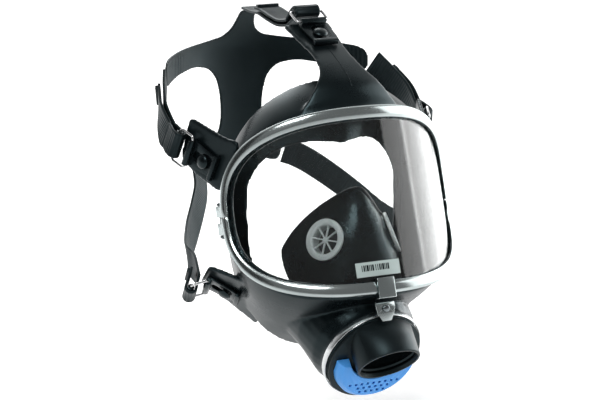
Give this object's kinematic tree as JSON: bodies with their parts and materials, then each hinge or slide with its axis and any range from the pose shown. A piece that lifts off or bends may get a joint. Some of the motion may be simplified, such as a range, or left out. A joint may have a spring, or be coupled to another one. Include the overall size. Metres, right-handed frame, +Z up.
{
  "type": "full face respirator",
  "caption": "Full-face rubber respirator with a clear curved visor in a metal frame, threaded chin port, outlet valve cover, inner half mask and adjustable rubber head harness.",
  "frame": {"origin": "centre of the face seal's opening, 60 mm behind the visor's front and level with the middle of the visor", "axes": "+X towards the wearer's left, -Y the way the mask faces, +Y towards the back of the wearer's head, +Z up"},
  "size_m": [0.2132, 0.2484, 0.2629],
  "materials": {
    "buckle_black": "semi-gloss moulded plastic",
    "clamp_steel": "polished band",
    "cover_blue": "satin moulded plastic",
    "fastener_steel": "plated steel",
    "frame_steel": "polished",
    "housing_black": "satin moulded plastic",
    "label_silver": null,
    "rubber_black": "satin moulded rubber",
    "rubber_harness": "matt moulded rubber",
    "valve_grey": "light grey moulded plastic",
    "valve_rubber": "thin soft rubber",
    "visor_clear": "clear polished polycarbonate",
    "wire_steel": "bright drawn wire"
  },
  "bodies": {
    "mask": {"facepiece": "rubber_black", "visor_lens": "visor_clear", "visor_frame_upper": "frame_steel", "visor_frame_lower": "frame_steel", "frame_screw_left": "fastener_steel", "frame_screw_right": "fastener_steel", "frame_nut_left": "fastener_steel", "frame_nut_right": "fastener_steel", "visor_label": "label_silver", "centre_clip": "frame_steel", "clip_bracket": "frame_steel", "clip_screw": "fastener_steel", "clamp_band": "clamp_steel", "connector_housing": "housing_black", "port_washer": "valve_rubber", "inhalation_valve_seat": "housing_black", "exhalation_valve_seat": "housing_black", "inner_mask": "rubber_black", "control_valve_seat_right": "valve_grey", "control_valve_seat_left": "valve_grey", "head_harness": "rubber_harness", "forehead_strap": "rubber_harness", "temple_right_strap": "rubber_harness", "temple_left_strap": "rubber_harness", "jaw_right_strap": "rubber_harness", "jaw_left_strap": "rubber_harness", "forehead_stud": "buckle_black", "temple_right_stud": "buckle_black", "temple_left_stud": "buckle_black", "jaw_right_stud": "buckle_black", "jaw_left_stud": "buckle_black"},
    "forehead_buckle": {"forehead_buckle_tab": "buckle_black", "forehead_buckle_wire": "wire_steel", "forehead_buckle_bar": "buckle_black", "forehead_strap_end": "rubber_harness"},
    "temple_right_buckle": {"temple_right_buckle_tab": "buckle_black", "temple_right_buckle_wire": "wire_steel", "temple_right_buckle_bar": "buckle_black", "temple_right_strap_end": "rubber_harness"},
    "temple_left_buckle": {"temple_left_buckle_tab": "buckle_black", "temple_left_buckle_wire": "wire_steel", "temple_left_buckle_bar": "buckle_black", "temple_left_strap_end": "rubber_harness"},
    "jaw_right_buckle": {"jaw_right_buckle_tab": "buckle_black", "jaw_right_buckle_wire": "wire_steel", "jaw_right_buckle_bar": "buckle_black", "jaw_right_strap_end": "rubber_harness"},
    "jaw_left_buckle": {"jaw_left_buckle_tab": "buckle_black", "jaw_left_buckle_wire": "wire_steel", "jaw_left_buckle_bar": "buckle_black", "jaw_left_strap_end": "rubber_harness"},
    "inhalation_disc": {"inhalation_valve_disc": "valve_rubber"},
    "exhalation_disc": {"exhalation_valve_disc": "valve_rubber"},
    "control_disc_right": {"control_valve_disc_right": "valve_rubber"},
    "control_disc_left": {"control_valve_disc_left": "valve_rubber"},
    "outlet_cover": {"exhalation_cover": "cover_blue"}
  },
  "joints": [
    {"name": "forehead_buckle_swivel", "type": "hinge", "parent": "mask", "child": "forehead_buckle", "pos_m": [0, 0.0177, 0.103], "axis": [0, -0.4202, 0.9074], "range_deg": [-5, 5]},
    {"name": "temple_right_buckle_swivel", "type": "hinge", "parent": "mask", "child": "temple_right_buckle", "pos_m": [-0.087, 0.0202, 0.022], "axis": [-0.9287, -0.3695, 0.03], "range_deg": [-1.5, 3]},
    {"name": "temple_left_buckle_swivel", "type": "hinge", "parent": "mask", "child": "temple_left_buckle", "pos_m": [0.087, 0.0202, 0.022], "axis": [0.9287, -0.3695, 0.03], "range_deg": [-3, 1.5]},
    {"name": "jaw_right_buckle_swivel", "type": "hinge", "parent": "mask", "child": "jaw_right_buckle", "pos_m": [-0.0728, 0.0186, -0.0709], "axis": [-0.6648, -0.2889, -0.6888], "range_deg": [-3, 3]},
    {"name": "jaw_left_buckle_swivel", "type": "hinge", "parent": "mask", "child": "jaw_left_buckle", "pos_m": [0.0728, 0.0186, -0.0709], "axis": [0.6648, -0.2889, -0.6888], "range_deg": [-3, 3]},
    {"name": "inhalation_valve_lift", "type": "slide", "parent": "mask", "child": "inhalation_disc", "axis": [0, 0.8829, 0.4695], "range_m": [0, 0.0014], "stiffness_N_per_m": 30, "springref_m": -0.0003},
    {"name": "exhalation_valve_lift", "type": "slide", "parent": "mask", "child": "exhalation_disc", "axis": [0, -0.8829, -0.4695], "range_m": [0, 0.0015], "stiffness_N_per_m": 30, "springref_m": -0.0003},
    {"name": "control_valve_lift_right", "type": "slide", "parent": "mask", "child": "control_disc_right", "axis": [0.8281, 0.4162, -0.3756], "range_m": [0, 0.0012], "stiffness_N_per_m": 30, "springref_m": -0.0003},
    {"name": "control_valve_lift_left", "type": "slide", "parent": "mask", "child": "control_disc_left", "axis": [-0.8281, 0.4162, -0.3756], "range_m": [0, 0.0012], "stiffness_N_per_m": 30, "springref_m": -0.0003},
    {"name": "outlet_cover_pull", "type": "slide", "parent": "mask", "child": "outlet_cover", "axis": [0, -0.6252, -0.7804], "range_m": [0, 0.012]}
  ]
}
